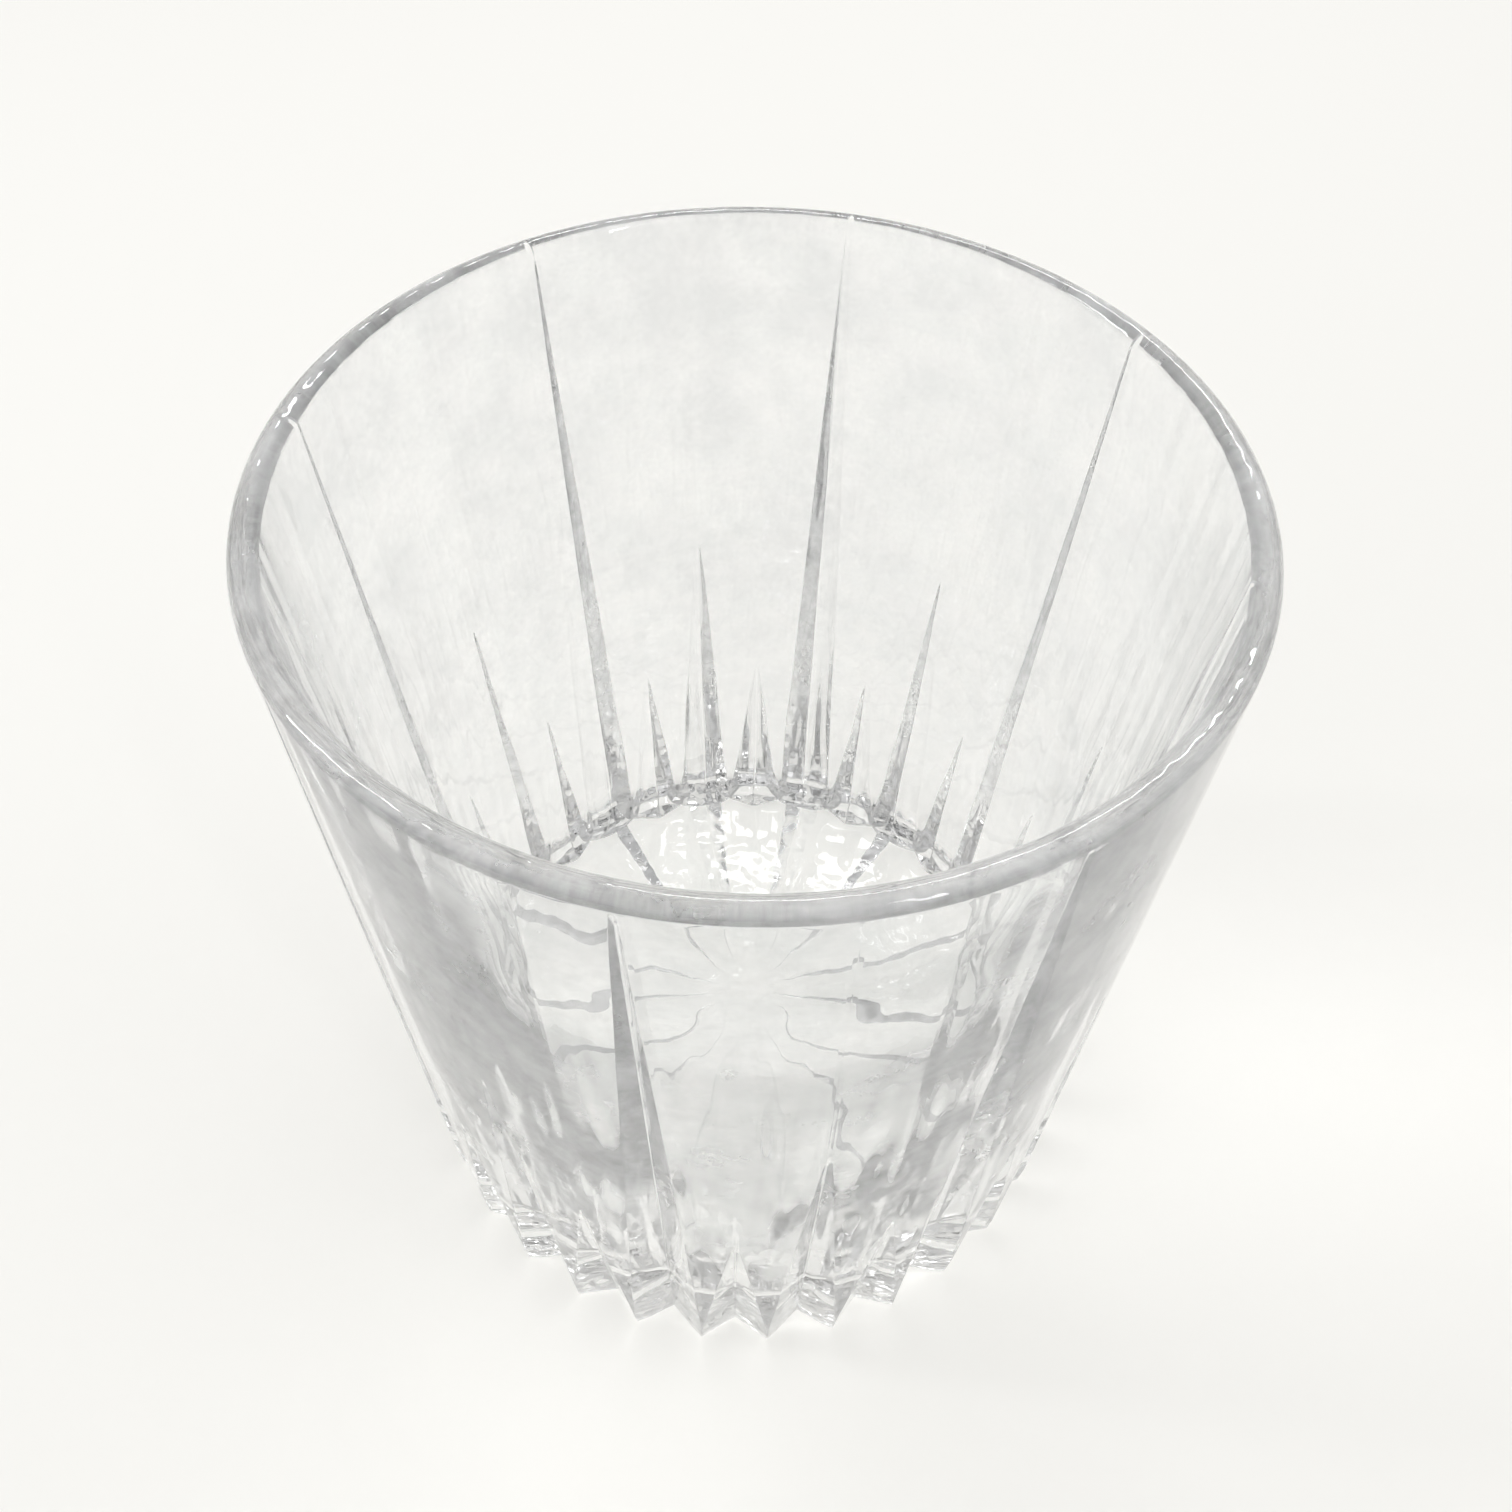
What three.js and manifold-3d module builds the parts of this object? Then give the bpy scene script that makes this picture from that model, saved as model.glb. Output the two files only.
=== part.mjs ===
// Pressed-glass whiskey tumbler: one solid piece of clear glass, millimetres, +Z up, origin at the centre of the base.
// A plain lathe-turned cup is cut with V grooves up its side and with a star of V rays under its base.
import * as THREE from "three";
import Module from "manifold-3d";

const wasm = await Module();
wasm.setup();
const { Manifold, Mesh } = wasm;

// Overall size
const HEIGHT = 94;
const RIM_RADIUS = 42.5;
const FOOT_RADIUS = 38.8;

// Lip and foot edge
const LIP_THICKNESS = 2.5;
const LIP_STEPS = 8;
const FOOT_ROUND = 0.4;
const FOOT_ROUND_STEPS = 2;

// Inside of the cup
const FLOOR_HEIGHT = 10.5;
const FLOOR_CORNER_RADIUS = 4.5;
const FLOOR_CORNER_STEPS = 6;
const INNER_RADIUS_AT_FLOOR = 33.5;

// Lathe
const LATHE_SEGMENTS = 128;

// Grooves in the side, all cut by the same V
const GROOVE_COUNT = 32;
const GROOVE_HALF_ANGLE = THREE.MathUtils.degToRad(57);
const GROOVE_DEPTH_AT_FOOT = 2.8;
const GROOVE_DEPTH_AT_TOP = 0.2;
const LONG_TOP = 92;
const MEDIUM_TOP = 52;
const SHORT_TOP = 31;
const GROOVE_TOPS = [LONG_TOP, SHORT_TOP, MEDIUM_TOP, SHORT_TOP];

// Star under the base, one ray for every second groove
const RAY_COUNT = GROOVE_COUNT / 2;
const RAY_START_RADIUS = 3;
const RAY_DEPTH_AT_EDGE = 1.6;

// Cutters stand proud of the glass by this much and run past its edges by the overrun
const CUTTER_HEIGHT = 9;
const CUTTER_OVERRUN = 6;

/** Points on an arc of a lathe profile, given its centre, radius and start and end angles in radians. */
function profileArc(centreR, centreZ, radius, from, to, steps) {
  const points = [];
  for (let i = 0; i <= steps; i += 1) {
    const angle = from + ((to - from) * i) / steps;
    points.push(new THREE.Vector2(centreR + radius * Math.cos(angle), centreZ + radius * Math.sin(angle)));
  }
  return points;
}

/** Turns a geometry into a manifold solid, with shared vertices merged. */
function toManifold(geometry) {
  const positions = geometry.getAttribute("position");
  const index = geometry.index;
  const triangles = index ? Array.from(index.array) : Array.from({ length: positions.count }, (_, i) => i);
  const mesh = new Mesh({
    numProp: 3,
    vertProperties: new Float32Array(positions.array),
    triVerts: new Uint32Array(triangles),
  });
  mesh.merge();
  return new Manifold(mesh);
}

/** Turns a manifold solid back into a flat-shaded geometry. */
function toGeometry(solid) {
  const mesh = solid.getMesh();
  const indexed = new THREE.BufferGeometry();
  indexed.setAttribute("position", new THREE.BufferAttribute(new Float32Array(mesh.vertProperties), 3));
  indexed.setIndex(new THREE.BufferAttribute(new Uint32Array(mesh.triVerts), 1));
  const geometry = indexed.toNonIndexed();
  geometry.computeVertexNormals();
  return geometry;
}

/** Radius of the uncut outer wall at height z. */
function outerRadius(z) {
  return FOOT_RADIUS + ((RIM_RADIUS - FOOT_RADIUS) * z) / HEIGHT;
}

/** The uncut cup: base, tapered outer wall, rounded lip, tapered inner wall, rounded corner and flat floor. */
function buildCup() {
  const lipRadius = LIP_THICKNESS / 2;
  const lipZ = HEIGHT - lipRadius;
  const lipR = RIM_RADIUS - lipRadius;
  const innerTilt = Math.atan2(lipR - lipRadius - INNER_RADIUS_AT_FLOOR, lipZ - FLOOR_HEIGHT);
  const cornerZ = FLOOR_HEIGHT + FLOOR_CORNER_RADIUS;
  const wallRAtCorner = INNER_RADIUS_AT_FLOOR + (cornerZ - FLOOR_HEIGHT) * Math.tan(innerTilt);
  const cornerR = wallRAtCorner - FLOOR_CORNER_RADIUS / Math.cos(innerTilt);
  const profile = [
    new THREE.Vector2(0, 0),
    ...profileArc(FOOT_RADIUS - FOOT_ROUND, FOOT_ROUND, FOOT_ROUND, -Math.PI / 2, 0, FOOT_ROUND_STEPS),
    ...profileArc(lipR, lipZ, lipRadius, 0, Math.PI, LIP_STEPS),
    ...profileArc(cornerR, cornerZ, FLOOR_CORNER_RADIUS, -innerTilt, -Math.PI / 2, FLOOR_CORNER_STEPS),
    new THREE.Vector2(0, FLOOR_HEIGHT),
  ];
  const geometry = new THREE.LatheGeometry(profile, LATHE_SEGMENTS);
  // The profile turns about Y, so the cup is stood up on Z.
  geometry.rotateX(Math.PI / 2);
  return toManifold(geometry);
}

/**
 * A long V-shaped cutter. Its sharp edge runs from one point to another and the V opens towards the outside.
 * The cutter goes past the second point by the overrun.
 */
function buildVCutter(from, to, outside) {
  const along = new THREE.Vector3().subVectors(to, from).normalize();
  const across = new THREE.Vector3().crossVectors(outside, along).normalize();
  const open = new THREE.Vector3().crossVectors(along, across).normalize();
  const halfWidth = CUTTER_HEIGHT * Math.tan(GROOVE_HALF_ANGLE);
  const section = new THREE.Shape();
  section.moveTo(0, 0);
  section.lineTo(halfWidth, CUTTER_HEIGHT);
  section.lineTo(-halfWidth, CUTTER_HEIGHT);
  section.closePath();
  const length = from.distanceTo(to) + CUTTER_OVERRUN;
  const geometry = new THREE.ExtrudeGeometry(section, { depth: length, bevelEnabled: false });
  geometry.applyMatrix4(new THREE.Matrix4().makeBasis(across, open, along).setPosition(from));
  return toManifold(geometry);
}

/** A groove cutter in the plane y = 0: it ends bluntly at the given height and is deepest at the foot. */
function buildGrooveCutter(top) {
  const tip = new THREE.Vector3(outerRadius(top) - GROOVE_DEPTH_AT_TOP, 0, top);
  const foot = new THREE.Vector3(FOOT_RADIUS - GROOVE_DEPTH_AT_FOOT, 0, 0);
  return buildVCutter(tip, foot, new THREE.Vector3(1, 0, 0));
}

/** A ray cutter in the plane y = 0: it starts near the middle of the base and is deepest at the foot edge. */
function buildRayCutter() {
  const inner = new THREE.Vector3(RAY_START_RADIUS, 0, 0);
  const outer = new THREE.Vector3(FOOT_RADIUS, 0, RAY_DEPTH_AT_EDGE);
  return buildVCutter(inner, outer, new THREE.Vector3(0, 0, -1));
}

/** Cuts the grooves and the star out of the cup. The first long groove is on +X. */
function buildTumbler() {
  const pitch = 360 / GROOVE_COUNT;
  let solid = buildCup();
  for (let i = 0; i < GROOVE_COUNT; i += 1) {
    const cutter = buildGrooveCutter(GROOVE_TOPS[i % GROOVE_TOPS.length]);
    solid = solid.subtract(cutter.rotate([0, 0, i * pitch]));
  }
  for (let i = 0; i < RAY_COUNT; i += 1) {
    solid = solid.subtract(buildRayCutter().rotate([0, 0, 2 * i * pitch]));
  }
  return solid;
}

const clearGlass = new THREE.MeshStandardMaterial({
  name: "clear_glass",
  color: 0xf4f6f6,
  roughness: 0.03,
  metalness: 0,
  transparent: true,
  opacity: 0.35,
});

const tumbler = new THREE.Mesh(toGeometry(buildTumbler()), clearGlass);
tumbler.name = "glass_tumbler";

const part = new THREE.Group();
part.name = "whiskey_tumbler";
part.add(tumbler);

export default part;
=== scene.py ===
"""Looks of a pressed-glass whiskey tumbler with V grooves up its side and a star under its base."""

import logging
import math
from dataclasses import dataclass, field
from enum import Enum

import bmesh
import bpy
from mathutils import Matrix, Vector


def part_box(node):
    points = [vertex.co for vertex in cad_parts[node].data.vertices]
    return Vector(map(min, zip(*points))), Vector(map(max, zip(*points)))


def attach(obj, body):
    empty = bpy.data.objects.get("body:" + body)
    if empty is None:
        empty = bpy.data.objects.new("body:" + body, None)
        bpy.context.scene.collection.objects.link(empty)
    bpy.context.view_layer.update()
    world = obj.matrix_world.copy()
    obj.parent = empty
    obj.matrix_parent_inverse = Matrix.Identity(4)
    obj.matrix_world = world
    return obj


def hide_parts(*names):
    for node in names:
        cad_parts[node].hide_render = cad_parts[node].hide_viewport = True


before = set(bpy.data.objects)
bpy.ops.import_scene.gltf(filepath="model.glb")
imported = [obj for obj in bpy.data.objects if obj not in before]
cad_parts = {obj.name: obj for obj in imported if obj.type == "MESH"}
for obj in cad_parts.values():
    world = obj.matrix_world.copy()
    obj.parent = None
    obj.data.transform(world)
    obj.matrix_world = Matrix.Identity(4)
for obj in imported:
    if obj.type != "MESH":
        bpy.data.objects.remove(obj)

NODE = "glass_tumbler"
BODY = "root"
MM = 0.001
PATTERN_GROOVES = 4
MERGE_DISTANCE = 1e-3
GLASS_BOUNCES = 32
GLOSSY_BOUNCES = 16

# A Mix node has several sockets of one name, so its colour sockets go by number.
MIX_FACTOR = 0
MIX_FIRST_COLOUR = 6
MIX_SECOND_COLOUR = 7
MIX_COLOUR_RESULT = 2

log = logging.getLogger("tumbler")


def linear_colour(hex_code: str, alpha: float = 1.0) -> tuple[float, float, float, float]:
    """Turn an sRGB hex colour into linear RGBA.

    Args:
        hex_code: Six hex digits, with or without a leading hash.
        alpha: Opacity from 0 to 1.

    Returns:
        Red, green, blue and alpha in linear light.
    """
    digits = hex_code.lstrip("#")
    channels = [int(digits[i:i + 2], 16) / 255 for i in (0, 2, 4)]
    linear = [c / 12.92 if c <= 0.04045 else ((c + 0.055) / 1.055) ** 2.4 for c in channels]
    return (linear[0], linear[1], linear[2], alpha)


def add_node(
    tree: bpy.types.NodeTree,
    kind: str,
    settings: dict[str, object] | None = None,
    inputs: dict[str | int, object] | None = None,
) -> bpy.types.Node:
    """Add one shader node, set it up and link its inputs.

    Args:
        tree: Node tree that the node joins.
        kind: Blender's identifier of the node type.
        settings: Attributes of the node itself.
        inputs: Values or output sockets for the node's inputs, by input name or number.

    Returns:
        The new node.
    """
    node = tree.nodes.new(kind)
    for name, value in (settings or {}).items():
        setattr(node, name, value)
    for name, value in (inputs or {}).items():
        socket = node.inputs[name]
        if isinstance(value, bpy.types.NodeSocket):
            tree.links.new(value, socket)
        else:
            socket.default_value = value
    return node


class Zone(Enum):
    """Which surface of the plain cup a point lies on."""

    BASE = "base"
    FOOT_EDGE = "foot edge"
    OUTSIDE = "outside"
    INSIDE = "inside"


@dataclass(frozen=True)
class Station:
    """A point of the plain cup's outline, in millimetres."""

    radius: float
    z: float
    zone: Zone


def soft_floor(value: float, softness: float) -> float:
    """The value where it is above 0, and 0 elsewhere, with a rounded bend between.

    Args:
        value: Value to limit.
        softness: Half the width of the bend.

    Returns:
        The limited value, never below 0.
    """
    if value >= softness:
        return value
    if value <= -softness:
        return 0.0
    return (value + softness) ** 2 / (4 * softness)


@dataclass(frozen=True)
class VCut:
    """The V that the mould cuts, in millimetres."""

    half_angle: float = math.radians(57)
    arris_softness: float = 0.05
    valley_radius: float = 0.12

    @property
    def slope(self) -> float:
        """Rise of a facet for each millimetre across it."""
        return 1 / math.tan(self.half_angle)

    def rise(self, across: float) -> float:
        """Height of a facet above the bottom of the V, at a distance across from it."""
        rounded = math.hypot(across, self.valley_radius) - self.valley_radius
        return rounded * self.slope

    def edge_angle(self, valley: float, surface: float) -> float:
        """Angle round the axis from the bottom of the V to its edge.

        Args:
            valley: Radius of the bottom of the V.
            surface: Radius of the surface that it is cut into.

        Returns:
            The angle in radians, 0 where the V doesn't reach the glass.
        """
        if valley >= surface:
            return 0.0
        lean = math.pi / 2 - self.half_angle
        return math.acos(valley / surface * math.sin(self.half_angle)) - lean


@dataclass(frozen=True)
class GroovePattern:
    """The V grooves up the side: how many, how tall and how deep, in millimetres.

    Above its top, a groove runs out of the glass over the end length, by the overrun times its depth.
    """

    cut: VCut = field(default_factory=VCut)
    count: int = 32
    long_top: float = 92.0
    medium_top: float = 52.0
    short_top: float = 31.0
    depth_at_foot: float = 2.8
    depth_at_top: float = 0.2
    end_length: float = 0.35
    end_overrun: float = 1.2

    @property
    def pitch(self) -> float:
        """Angle between neighbouring grooves, in radians."""
        return 2 * math.pi / self.count

    def top(self, number: int) -> float:
        """Height at which a groove ends."""
        tops = (self.long_top, self.short_top, self.medium_top, self.short_top)
        return tops[number % len(tops)]


@dataclass(frozen=True)
class StarPattern:
    """The V rays under the base, one for every second groove, in millimetres."""

    cut: VCut = field(default_factory=VCut)
    start_radius: float = 3.0
    depth_at_edge: float = 1.6

    def depth(self, radius: float, edge_radius: float) -> float:
        """Depth of the bottom of a ray at a radius."""
        run = (radius - self.start_radius) / (edge_radius - self.start_radius)
        return self.depth_at_edge * max(run, 0.0)


@dataclass(eq=False)
class GlassBody:
    """The whole glass: a lathe-turned cup with its grooves and star pressed in, in millimetres.

    The columns of the mesh follow the arrises. A share is a part of the half pitch, from the bottom of a
    groove to the middle of the panel beside it, and the panel shares place two columns across the panel.
    """

    height: float
    rim_radius: float
    foot_radius: float = 38.8
    lip_thickness: float = 2.5
    foot_round: float = 0.4
    floor_height: float = 10.5
    floor_corner_radius: float = 4.5
    inner_radius_at_floor: float = 33.5
    grooves: GroovePattern = field(default_factory=GroovePattern)
    star: StarPattern = field(default_factory=StarPattern)
    half_pitch_columns: int = 8
    wall_row_height: float = 1.3
    base_rows: int = 14
    lip_rows: int = 12
    inner_rows: int = 26
    corner_rows: int = 10
    floor_rows: int = 8
    foot_blend_height: float = 3.0
    raised_foot_height: float = 8.0
    settled_radius: float = 30.0
    least_ray_radius: float = 1.0
    least_share: float = 0.04
    greatest_share: float = 0.95
    bend_share: float = 0.03
    near_panel_share: float = 0.45
    far_panel_share: float = 0.8
    facet_normal_weight: int = 50

    def outer_radius(self, z: float) -> float:
        """Radius of the plain outer wall at a height."""
        return self.foot_radius + (self.rim_radius - self.foot_radius) * z / self.height

    def wall_heights(self, lip_z: float) -> list[float]:
        """Heights of the rows up the outer wall, with a row at each end of each groove's blunt top.

        Args:
            lip_z: Height at which the rounded lip starts.

        Returns:
            The heights in millimetres, from the foot up.
        """
        stops = [self.foot_round]
        for top in (self.grooves.short_top, self.grooves.medium_top, self.grooves.long_top):
            stops += [top, top + self.grooves.end_length]
        stops.append(lip_z)
        heights = [stops[0]]
        for low, high in zip(stops, stops[1:]):
            rows = math.ceil((high - low) / self.wall_row_height)
            heights += [low + (high - low) * i / rows for i in range(1, rows + 1)]
        return heights

    def stations(self) -> list[Station]:
        """Outline of the plain cup from the middle of the base round to the middle of the floor.

        Returns:
            The points of the outline in order, each with the surface that it lies on.
        """
        lip = self.lip_thickness / 2
        lip_z = self.height - lip
        lip_r = self.rim_radius - lip
        tilt = math.atan2(lip_r - lip - self.inner_radius_at_floor, lip_z - self.floor_height)
        corner = self.floor_corner_radius
        corner_z = self.floor_height + corner
        wall_r = self.inner_radius_at_floor + corner * math.tan(tilt)
        corner_r = wall_r - corner / math.cos(tilt)

        flat = self.foot_radius - self.foot_round
        points = [Station(flat * i / self.base_rows, 0.0, Zone.BASE) for i in range(self.base_rows + 1)]
        # Halfway round the rounded foot edge, at 45 degrees.
        shoulder = self.foot_round * (1 - math.sqrt(0.5))
        points.append(Station(self.foot_radius - shoulder, shoulder, Zone.FOOT_EDGE))
        for z in self.wall_heights(lip_z):
            points.append(Station(self.outer_radius(z), z, Zone.OUTSIDE))
        for i in range(1, self.lip_rows + 1):
            turn = math.pi * i / self.lip_rows
            points.append(Station(lip_r + lip * math.cos(turn), lip_z + lip * math.sin(turn), Zone.INSIDE))
        for i in range(1, self.inner_rows):
            share = i / self.inner_rows
            radius = (lip_r - lip) * (1 - share) + wall_r * share
            points.append(Station(radius, lip_z * (1 - share) + corner_z * share, Zone.INSIDE))
        for i in range(self.corner_rows + 1):
            turn = -tilt - (math.pi / 2 - tilt) * i / self.corner_rows
            radius = corner_r + corner * math.cos(turn)
            points.append(Station(radius, corner_z + corner * math.sin(turn), Zone.INSIDE))
        for i in range(1, self.floor_rows + 1):
            radius = corner_r * (1 - i / self.floor_rows)
            points.append(Station(radius, self.floor_height, Zone.INSIDE))
        return points

    def valley_radius(self, number: int, z: float) -> float:
        """Radius of the bottom of a groove, which leaves the wall steeply above the groove's top.

        Args:
            number: Which groove.
            z: Height in millimetres.

        Returns:
            Radius in millimetres.
        """
        top = self.grooves.top(number)
        foot = self.foot_radius - self.grooves.depth_at_foot
        head = self.outer_radius(top) - self.grooves.depth_at_top
        if z > top:
            rise = self.grooves.depth_at_top * self.grooves.end_overrun
            return head + rise * (z - top) / self.grooves.end_length
        return foot + (head - foot) * z / top

    def groove_radius(self, number: int, offset: float, z: float) -> float:
        """Radius at which the facets of one groove lie.

        Args:
            number: Which groove.
            offset: Angle from the bottom of the groove, in radians.
            z: Height in millimetres.

        Returns:
            Radius in millimetres, at most the radius of the plain wall.
        """
        cut = self.grooves.cut
        surface = self.outer_radius(z)
        valley = self.valley_radius(number, z)
        across = abs(valley * math.sin(offset))
        facet = (valley + cut.rise(across)) / math.cos(offset)
        facet = facet + (facet - valley) * abs(math.tan(offset)) * cut.slope
        return surface - soft_floor(surface - facet, cut.arris_softness)

    def wall_radius(self, angle: float, z: float) -> float:
        """Radius of the grooved outer wall, where the nearest three grooves can reach.

        Args:
            angle: Angle round the axis, in radians.
            z: Height in millimetres.

        Returns:
            Radius in millimetres.
        """
        pitch = self.grooves.pitch
        nearest = round(angle / pitch)
        return min(
            self.groove_radius(number, angle - number * pitch, z)
            for number in (nearest - 1, nearest, nearest + 1)
        )

    def ray_height(self, angle: float, radius: float) -> float:
        """Height of the star-cut base above the table. A ray lies in line with every second groove.

        Args:
            angle: Angle round the axis, in radians.
            radius: Radius in millimetres.

        Returns:
            Height in millimetres, 0 between the rays.
        """
        pitch = self.grooves.pitch
        number = round(angle / (2 * pitch)) * 2
        across = abs(radius * math.sin(angle - number * pitch))
        depth = self.star.depth(radius, self.foot_radius)
        return soft_floor(depth - self.star.cut.rise(across), self.star.cut.arris_softness)

    def edge_share(self, number: int, station: Station) -> float:
        """Share of the half pitch at which the main arris beside a groove or a ray lies.

        Args:
            number: Which groove.
            station: Point of the plain outline.

        Returns:
            The share, from just above 0 to just below 1.
        """
        half_pitch = self.grooves.pitch / 2
        cut = self.grooves.cut
        on_base = self.star.depth(station.radius, self.foot_radius) * math.tan(cut.half_angle)
        base_share = math.asin(min(on_base / max(station.radius, self.least_ray_radius), 1.0)) / half_pitch
        if station.zone in (Zone.BASE, Zone.FOOT_EDGE):
            share = base_share
        else:
            z = min(station.z, self.grooves.long_top)
            valley = self.valley_radius(number, z)
            share = cut.edge_angle(valley, self.outer_radius(z)) / half_pitch
            blend = min(z / self.foot_blend_height, 1.0)
            share = share * blend + base_share * (1 - blend)
        return min(max(share, self.least_share), self.greatest_share)

    def column_angle(self, column: int, station: Station) -> float:
        """Angle round the axis of one column of the mesh, which follows the arrises.

        Args:
            column: Number of the column, counted from the first groove.
            station: Point of the plain outline.

        Returns:
            The angle in radians.
        """
        per_side = self.half_pitch_columns
        number = round(column / (2 * per_side))
        step = column - number * 2 * per_side
        edge = self.edge_share(number, station)
        # The bend at the arris takes three close columns, and narrows where the facet or the panel does.
        soft = min(self.bend_share, edge / 4, (1 - edge) / 3)
        panel_start = edge + soft
        panel = 1 - edge - soft
        shares = (
            0.0, soft, edge / 2, edge - soft, edge, panel_start,
            panel_start + panel * self.near_panel_share, panel_start + panel * self.far_panel_share, 1.0,
        )
        side = math.copysign(self.grooves.pitch / 2, step)
        return number * self.grooves.pitch + side * shares[abs(step)]

    def pressed(self, column: int, station: Station) -> Vector:
        """Where a point of the plain cup ends up once the grooves and the star are pressed in.

        Args:
            column: Number of the column of the mesh.
            station: Point of the plain outline.

        Returns:
            The point in millimetres.
        """
        angle = self.column_angle(column, station)
        radius, z = station.radius, station.z
        if station.zone is not Zone.INSIDE:
            foot = self.wall_radius(angle, 0.0)
            lift = self.ray_height(angle, foot)
            if station.zone is Zone.OUTSIDE:
                z += lift * max(1 - z / self.raised_foot_height, 0.0)
                radius = self.wall_radius(angle, z)
            elif station.zone is Zone.FOOT_EDGE:
                z += lift
                radius += foot - self.foot_radius
            else:
                squeeze = (foot - self.settled_radius) / (self.foot_radius - self.settled_radius)
                radius = min(radius, self.settled_radius + (radius - self.settled_radius) * squeeze)
                z = self.ray_height(angle, radius)
        return Vector((radius * math.cos(angle), radius * math.sin(angle), z))

    def build(self) -> bpy.types.Object:
        """Turn the outline through one repeat of the pattern, press it in and copy it round the axis.

        Returns:
            The glass as one closed object in metres, at the origin.
        """
        repeats = self.grooves.count // PATTERN_GROOVES
        sector = 2 * math.pi / repeats
        columns = 2 * self.half_pitch_columns * PATTERN_GROOVES
        stations = self.stations()
        mesh = bmesh.new()
        tag = mesh.verts.layers.int.new("station")
        outline = []
        for i, station in enumerate(stations):
            vert = mesh.verts.new((station.radius, 0.0, station.z))
            vert[tag] = i
            outline.append(vert)
        edges = [mesh.edges.new(pair) for pair in zip(outline, outline[1:])]
        bmesh.ops.spin(
            mesh, geom=outline + edges, cent=(0, 0, 0), axis=(0, 0, 1),
            angle=sector, steps=columns, use_merge=False, use_duplicate=False,
        )
        for vert in mesh.verts:
            station = stations[vert[tag]]
            if station.radius > MERGE_DISTANCE:
                share = math.atan2(vert.co.y, vert.co.x) / sector
                vert.co = self.pressed(round(share * columns), station)
        bmesh.ops.spin(
            mesh, geom=mesh.verts[:] + mesh.edges[:] + mesh.faces[:], cent=(0, 0, 0), axis=(0, 0, 1),
            angle=sector * (repeats - 1), steps=repeats - 1, use_merge=False, use_duplicate=True,
        )
        bmesh.ops.remove_doubles(mesh, verts=mesh.verts[:], dist=MERGE_DISTANCE)
        bmesh.ops.recalc_face_normals(mesh, faces=mesh.faces[:])
        bmesh.ops.scale(mesh, vec=(MM, MM, MM), verts=mesh.verts[:])
        return self.finish_mesh(mesh)

    def finish_mesh(self, mesh: bmesh.types.BMesh) -> bpy.types.Object:
        """Turn the bmesh into a smooth-shaded object whose wide facets keep their own normals.

        Args:
            mesh: The finished shape in metres, which is freed.

        Returns:
            The object, linked to the scene.
        """
        for face in mesh.faces:
            face.smooth = True
        data = bpy.data.meshes.new("glass_body")
        mesh.to_mesh(data)
        mesh.free()
        glass = bpy.data.objects.new("glass_body", data)
        bpy.context.scene.collection.objects.link(glass)
        weighted = glass.modifiers.new("facet_normals", "WEIGHTED_NORMAL")
        weighted.mode = "FACE_AREA"
        weighted.weight = self.facet_normal_weight
        return glass


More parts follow.
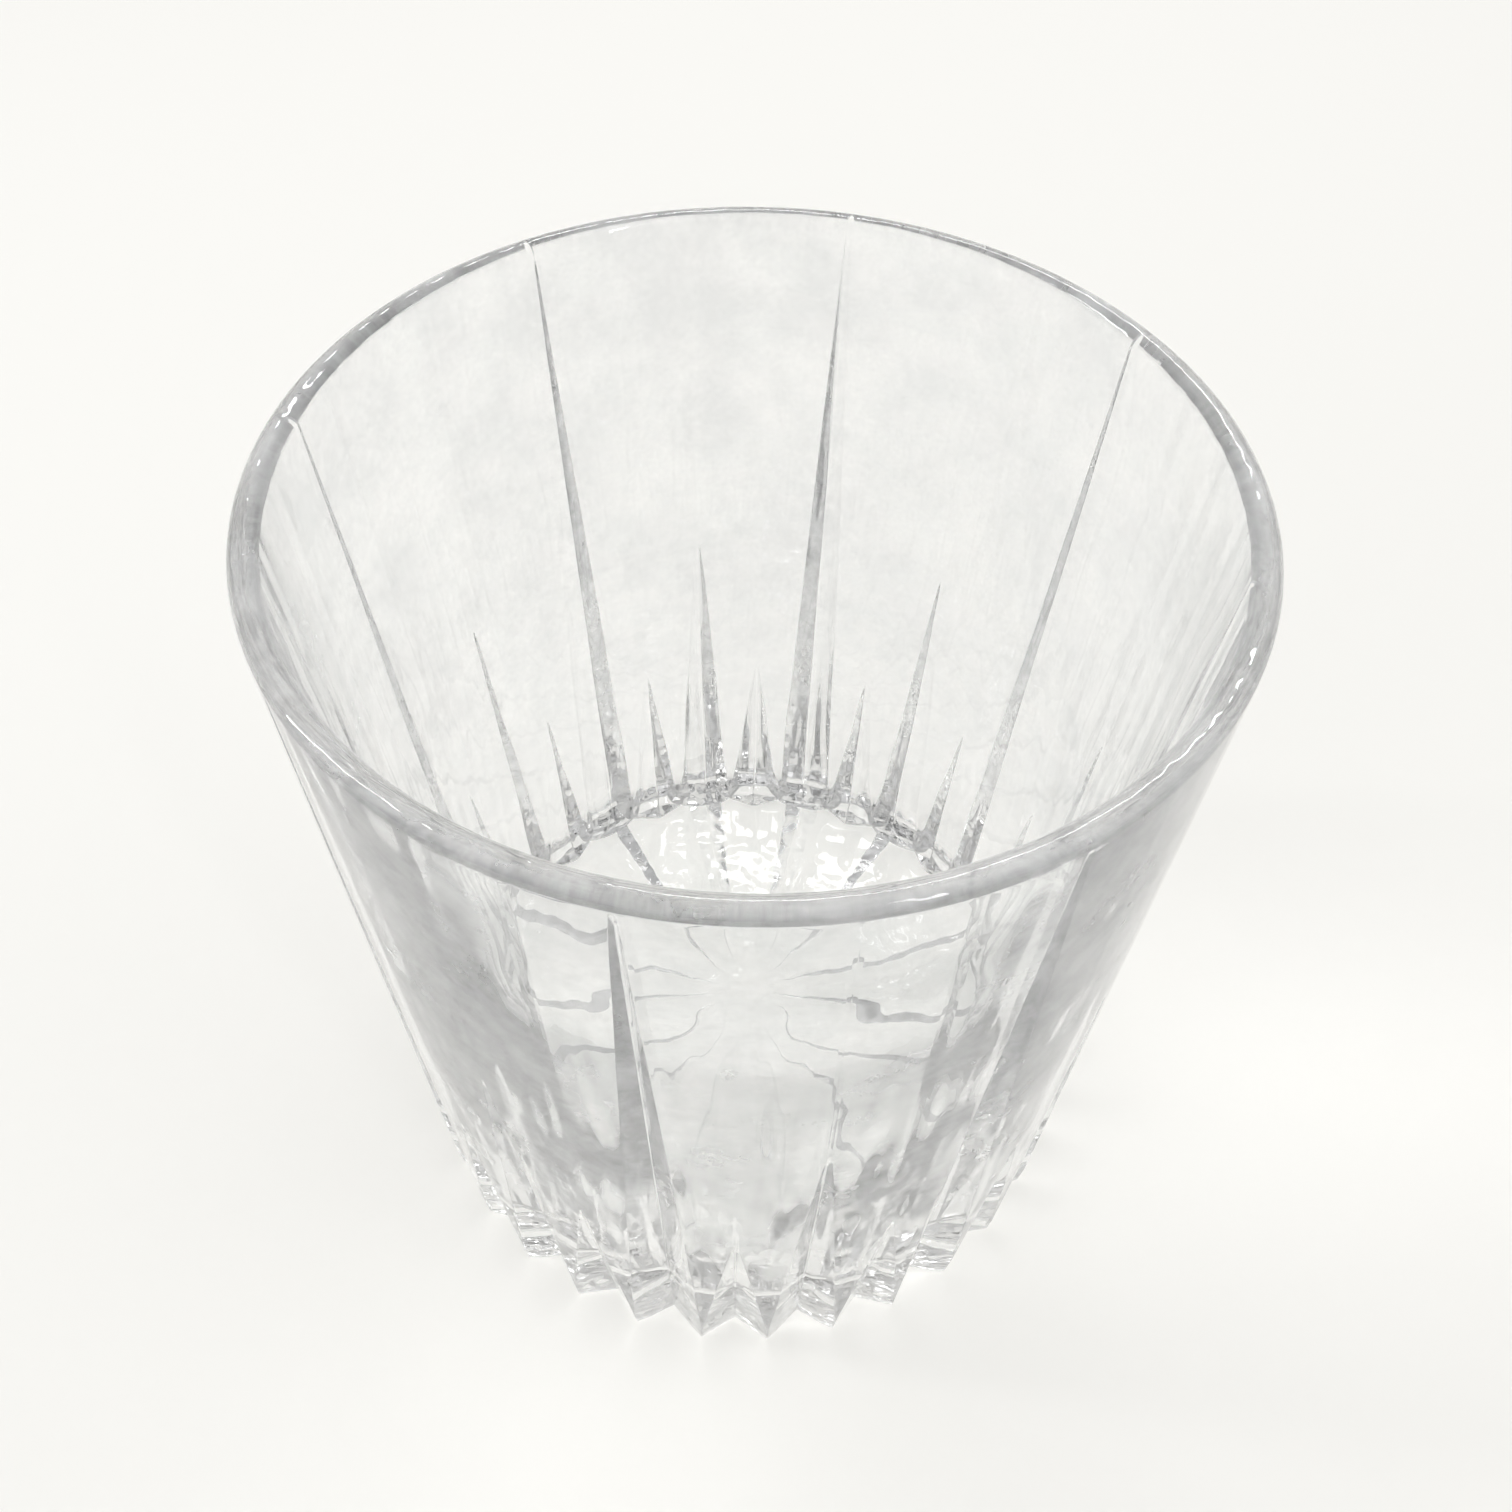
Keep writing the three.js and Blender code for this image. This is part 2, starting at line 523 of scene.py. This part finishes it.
@dataclass(frozen=True)
class PressedGlass:
    """Clear soda-lime glass, pressed in a mould and fire polished. Lengths are in millimetres.

    Fire polish leaves wide, faint waves and the mould leaves upright drag marks near the foot. Washing
    leaves a thin cloudy bloom and dried water a faint film. Long ways through the glass are slightly grey.
    """

    name: str = "fire_polished_soda_lime_glass"
    colour: str = "ffffff"
    ior: float = 1.52
    roughness: float = 0.0
    grey_per_metre: float = 4.5
    shadow_colour: str = "f3f3f3"
    noise_roughness: float = 0.7
    wave_size: float = 16.0
    wave_relief: float = 0.32
    ripple_size: float = 1.8
    ripple_relief: float = 0.2
    ripple_top: float = 80.0
    upright_stretch: float = 8.0
    upright_face: float = 0.3
    level_face: float = 0.9
    level_share: float = 0.4
    bloom_size: float = 10.0
    bloom_detail: float = 6.0
    bloom_amount: float = 0.23
    bloom_bottom: float = 14.0
    bloom_full: float = 40.0
    bloom_edge: float = 0.12
    film_colour: str = "fbfcfc"
    film_size: float = 7.0
    film_detail: float = 5.0
    film_flatness: float = 1.8
    film_edge: float = 0.10

    def material(self) -> bpy.types.Material:
        """Build the material.

        Returns:
            The clear glass, with its waves, bloom and film.
        """
        made = bpy.data.materials.new(self.name)
        made.use_nodes = True
        tree = made.node_tree
        tree.nodes.clear()
        place = add_node(tree, "ShaderNodeTexCoord").outputs["Object"]
        # Fire polish leaves no roughness, so every facet mirrors and bends light sharply.
        glass = add_node(tree, "ShaderNodeBsdfPrincipled", inputs={
            "Base Color": self.film(tree, place),
            "Roughness": self.roughness,
            "IOR": self.ior,
            "Transmission Weight": self.bloom(tree, place),
            "Normal": self.relief(tree, place),
        })
        # Lamplight passes to the table at a fixed loss, so the glass casts only a faint shadow.
        clear = add_node(tree, "ShaderNodeBsdfTransparent", inputs={
            "Color": linear_colour(self.shadow_colour),
        })
        path = add_node(tree, "ShaderNodeLightPath")
        shown = add_node(tree, "ShaderNodeMixShader", inputs={
            0: path.outputs["Is Shadow Ray"],
            1: glass.outputs["BSDF"],
            2: clear.outputs["BSDF"],
        })
        # Light that runs a long way inside the wall turns grey, which draws the grooves and the lip. Black
        # takes up every colour alike.
        grey = add_node(tree, "ShaderNodeVolumeAbsorption", inputs={
            "Color": linear_colour("000000"),
            "Density": self.grey_per_metre,
        })
        add_node(tree, "ShaderNodeOutputMaterial", inputs={
            "Surface": shown.outputs["Shader"],
            "Volume": grey.outputs["Volume"],
        })
        return made

    def bloom(self, tree: bpy.types.NodeTree, place: bpy.types.NodeSocket) -> bpy.types.NodeSocket:
        """Share of the light that passes the bloom of much washing, which whitens the wall in soft clouds.

        Args:
            tree: Node tree of the material.
            place: Object coordinates.

        Returns:
            The share, 1 where the bloom is worn off, as it is near the foot.
        """
        axes = add_node(tree, "ShaderNodeSeparateXYZ", inputs={"Vector": place})
        thickest = add_node(tree, "ShaderNodeMapRange", inputs={
            "Value": axes.outputs["Z"],
            "From Min": self.bloom_bottom * MM,
            "From Max": self.bloom_full * MM,
            "To Min": 1.0,
            "To Max": 1.0 - self.bloom_amount,
        })
        clouds = add_node(tree, "ShaderNodeTexNoise", inputs={
            "Vector": place,
            "Scale": 1 / (self.bloom_size * MM),
            "Detail": self.bloom_detail,
            "Roughness": self.noise_roughness,
        })
        share = add_node(tree, "ShaderNodeMapRange", inputs={
            "Value": clouds.outputs["Fac"],
            "From Min": 0.5 - self.bloom_edge,
            "From Max": 0.5 + self.bloom_edge,
            "To Min": 1.0,
            "To Max": thickest.outputs["Result"],
        })
        return share.outputs["Result"]

    def film(self, tree: bpy.types.NodeTree, place: bpy.types.NodeSocket) -> bpy.types.NodeSocket:
        """Colour of the glass with the film of dried water, which greys it in flat patches.

        Args:
            tree: Node tree of the material.
            place: Object coordinates.

        Returns:
            The colour.
        """
        flat = add_node(tree, "ShaderNodeMapping", inputs={
            "Vector": place,
            "Scale": (1.0, 1.0, self.film_flatness),
        })
        patches = add_node(tree, "ShaderNodeTexNoise", inputs={
            "Vector": flat.outputs["Vector"],
            "Scale": 1 / (self.film_size * MM),
            "Detail": self.film_detail,
            "Roughness": self.noise_roughness,
        })
        share = add_node(tree, "ShaderNodeMapRange", inputs={
            "Value": patches.outputs["Fac"],
            "From Min": 0.5 - self.film_edge,
            "From Max": 0.5 + self.film_edge,
        })
        mixed = add_node(tree, "ShaderNodeMix", {"data_type": "RGBA"}, {
            MIX_FACTOR: share.outputs["Result"],
            MIX_FIRST_COLOUR: linear_colour(self.colour),
            MIX_SECOND_COLOUR: linear_colour(self.film_colour),
        })
        return mixed.outputs[MIX_COLOUR_RESULT]

    def drag_strength(self, tree: bpy.types.NodeTree, place: bpy.types.NodeSocket) -> bpy.types.NodeSocket:
        """Strength of the drag marks, which fade up the wall and are even on level faces.

        Args:
            tree: Node tree of the material.
            place: Object coordinates.

        Returns:
            The strength, from 0 to 1.
        """
        axes = add_node(tree, "ShaderNodeSeparateXYZ", inputs={"Vector": place})
        low_down = add_node(tree, "ShaderNodeMapRange", inputs={
            "Value": axes.outputs["Z"],
            "From Min": 0.0,
            "From Max": self.ripple_top * MM,
            "To Min": 1.0,
            "To Max": 0.0,
        })
        facing = add_node(tree, "ShaderNodeTexCoord").outputs["Normal"]
        slope = add_node(tree, "ShaderNodeSeparateXYZ", inputs={"Vector": facing})
        level = add_node(tree, "ShaderNodeMath", {"operation": "ABSOLUTE"}, {0: slope.outputs["Z"]})
        strength = add_node(tree, "ShaderNodeMapRange", inputs={
            "Value": level.outputs["Value"],
            "From Min": self.upright_face,
            "From Max": self.level_face,
            "To Min": low_down.outputs["Result"],
            "To Max": self.level_share,
        })
        return strength.outputs["Result"]

    def relief(self, tree: bpy.types.NodeTree, place: bpy.types.NodeSocket) -> bpy.types.NodeSocket:
        """Surface direction with the wide waves of pressing and the upright drag marks of the mould.

        The waves bend what is seen through the wall. The drag marks streak it, most of all near the foot.

        Args:
            tree: Node tree of the material.
            place: Object coordinates.

        Returns:
            The normal.
        """
        swell = add_node(tree, "ShaderNodeTexNoise", inputs={
            "Vector": place,
            "Scale": 1 / (self.wave_size * MM),
            "Detail": 0.0,
            "Roughness": self.noise_roughness,
        })
        waves = add_node(tree, "ShaderNodeBump", inputs={
            "Height": swell.outputs["Fac"],
            "Strength": 1.0,
            "Distance": self.wave_relief * MM,
        })
        upright = add_node(tree, "ShaderNodeMapping", inputs={
            "Vector": place,
            "Scale": (1.0, 1.0, 1 / self.upright_stretch),
        })
        marks = add_node(tree, "ShaderNodeTexNoise", inputs={
            "Vector": upright.outputs["Vector"],
            "Scale": 1 / (self.ripple_size * MM),
            "Detail": 0.0,
            "Roughness": self.noise_roughness,
        })
        ripples = add_node(tree, "ShaderNodeBump", inputs={
            "Height": marks.outputs["Fac"],
            "Strength": self.drag_strength(tree, place),
            "Distance": self.ripple_relief * MM,
            "Normal": waves.outputs["Normal"],
        })
        return ripples.outputs["Normal"]


@dataclass(frozen=True)
class StudioPaper:
    """Matt seamless background paper."""

    name: str = "matt_background_paper"
    colour: str = "f6f5f1"
    roughness: float = 0.9

    def material(self) -> bpy.types.Material:
        """Build the material.

        Returns:
            The warm white paper.
        """
        made = bpy.data.materials.new(self.name)
        made.use_nodes = True
        tree = made.node_tree
        tree.nodes.clear()
        # Matt paper has no shine, so the light on it stays even and its grain is too fine to see.
        paper = add_node(tree, "ShaderNodeBsdfPrincipled", inputs={
            "Base Color": linear_colour(self.colour),
            "Roughness": self.roughness,
        })
        add_node(tree, "ShaderNodeOutputMaterial", inputs={"Surface": paper.outputs["BSDF"]})
        return made


@dataclass(frozen=True)
class Viewpoint:
    """Where the camera stands and how it is aimed. Angles are in degrees and lengths in millimetres."""

    azimuth: float = 12.0
    elevation: float = 40.13
    rim_radii_away: float = 2.899
    pan: float = -0.18
    tilt: float = -10.54
    roll: float = -1.29
    lens: float = 35.26
    sensor_width: float = 36.0
    near_clip: float = 5.0

    def matrix(self, glass: GlassBody) -> Matrix:
        """Place and aim of the camera, measured from the middle of the rim.

        Args:
            glass: The tumbler that the camera looks at.

        Returns:
            The camera's world matrix in metres.
        """
        round_axis = math.radians(self.azimuth)
        up = math.radians(self.elevation)
        across = math.cos(up)
        back = Vector((math.sin(round_axis) * across, -math.cos(round_axis) * across, math.sin(up)))
        place = Vector((0, 0, glass.height)) + back * self.rim_radii_away * glass.rim_radius
        facing = back.to_track_quat("Z", "Y").to_matrix().to_4x4()
        turn = Matrix.Rotation(math.radians(self.pan), 4, "Y")
        nod = Matrix.Rotation(math.radians(self.tilt), 4, "X")
        roll = Matrix.Rotation(math.radians(-self.roll), 4, "Z")
        return Matrix.Translation(place * MM) @ facing @ turn @ nod @ roll


@dataclass(frozen=True)
class SoftBox:
    """A long soft box aimed at the tumbler, with its place and size in metres."""

    name: str
    place: tuple[float, float, float]
    width: float
    length: float
    brightness: float


@dataclass
class Studio:
    """Pale floor, soft light and the camera. The floor is in metres and its gap is in millimetres."""

    floor_size: float = 6.0
    floor_gap: float = 0.2
    horizon_light: float = 0.28
    zenith_light: float = 0.87
    full_light_height: float = 0.8
    sky_parts: float = 3.0
    sky_detail: float = 1.0
    sky_edge: float = 0.08
    sky_contrast: float = 0.2
    boxes: tuple[SoftBox, ...] = (
        SoftBox("back_soft_box", (0.05, 0.50, 0.65), 0.45, 0.04, 20.0),
        SoftBox("left_soft_box", (-0.60, -0.10, 0.50), 0.04, 0.50, 17.0),
        SoftBox("front_soft_box", (0.45, -0.40, 0.60), 0.04, 0.35, 12.0),
    )

    def build_floor(self) -> bpy.types.Object:
        """Lay the paper floor just under the tumbler.

        Returns:
            The floor.
        """
        mesh = bmesh.new()
        bmesh.ops.create_grid(mesh, x_segments=1, y_segments=1, size=self.floor_size / 2)
        bmesh.ops.translate(mesh, vec=(0, 0, -self.floor_gap * MM), verts=mesh.verts[:])
        data = bpy.data.meshes.new("paper_floor")
        mesh.to_mesh(data)
        mesh.free()
        floor = bpy.data.objects.new("paper_floor", data)
        floor.data.materials.append(StudioPaper().material())
        bpy.context.scene.collection.objects.link(floor)
        return floor

    def build_sky(self) -> None:
        """Light the set with a soft sky, grey at the horizon and white overhead, in broad uneven parts."""
        world = bpy.data.worlds.new("studio_air")
        world.use_nodes = True
        tree = world.node_tree
        tree.nodes.clear()
        place = add_node(tree, "ShaderNodeTexCoord").outputs["Generated"]
        axes = add_node(tree, "ShaderNodeSeparateXYZ", inputs={"Vector": place})
        height = add_node(tree, "ShaderNodeMapRange", inputs={
            "Value": axes.outputs["Z"],
            "From Min": 0.0,
            "From Max": self.full_light_height,
            "To Min": self.horizon_light,
            "To Max": self.zenith_light,
        })
        clouds = add_node(tree, "ShaderNodeTexNoise", inputs={
            "Vector": place,
            "Scale": self.sky_parts,
            "Detail": self.sky_detail,
        })
        patches = add_node(tree, "ShaderNodeMapRange", inputs={
            "Value": clouds.outputs["Fac"],
            "From Min": 0.5 - self.sky_edge,
            "From Max": 0.5 + self.sky_edge,
            "To Min": 1.0 - self.sky_contrast,
            "To Max": 1.0 + self.sky_contrast,
        })
        light = add_node(tree, "ShaderNodeMath", {"operation": "MULTIPLY"}, {
            0: height.outputs["Result"],
            1: patches.outputs["Result"],
        })
        sky = add_node(tree, "ShaderNodeBackground", inputs={
            "Color": linear_colour("ffffff"),
            "Strength": light.outputs["Value"],
        })
        add_node(tree, "ShaderNodeOutputWorld", inputs={"Surface": sky.outputs["Background"]})
        bpy.context.scene.world = world

    def build_soft_boxes(self) -> None:
        """Hang the long soft boxes that draw white lines on the lip and the ribs."""
        for box in self.boxes:
            data = bpy.data.lights.new(box.name, "AREA")
            data.shape = "RECTANGLE"
            data.size = box.width
            data.size_y = box.length
            data.energy = box.brightness * math.pi * box.width * box.length
            lamp = bpy.data.objects.new(box.name, data)
            place = Vector(box.place)
            lamp.location = place
            lamp.rotation_euler = place.to_track_quat("Z", "Y").to_euler()
            bpy.context.scene.collection.objects.link(lamp)

    def build_camera(self, glass: GlassBody) -> bpy.types.Object:
        """Stand the camera close above the rim.

        Args:
            glass: The tumbler that the camera looks at.

        Returns:
            The camera, set as the scene's own.
        """
        view = Viewpoint()
        data = bpy.data.cameras.new("camera")
        data.sensor_width = view.sensor_width
        data.lens = view.lens
        data.clip_start = view.near_clip * MM
        camera = bpy.data.objects.new("camera", data)
        camera.matrix_world = view.matrix(glass)
        bpy.context.scene.collection.objects.link(camera)
        bpy.context.scene.camera = camera
        return camera


def main() -> None:
    """Build the tumbler and its studio, and log the glass's face count and the floor."""
    logging.basicConfig(level=logging.INFO, format="%(name)s: %(message)s")
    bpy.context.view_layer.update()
    low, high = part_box(NODE)
    body = GlassBody(height=(high.z - low.z) / MM, rim_radius=(high.x - low.x) / 2 / MM)

    glass = body.build()
    glass.data.materials.append(PressedGlass().material())
    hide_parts(NODE)
    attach(glass, BODY)
    log.info("%s: %d faces", glass.name, len(glass.data.polygons))

    studio = Studio()
    floor = studio.build_floor()
    log.info("%s: part of the set", floor.name)
    studio.build_sky()
    studio.build_soft_boxes()
    studio.build_camera(body)
    bpy.context.scene.view_settings.view_transform = "Standard"
    bpy.context.scene.cycles.max_bounces = GLASS_BOUNCES
    bpy.context.scene.cycles.transmission_bounces = GLASS_BOUNCES
    bpy.context.scene.cycles.glossy_bounces = GLOSSY_BOUNCES


if __name__ == "__main__":
    main()
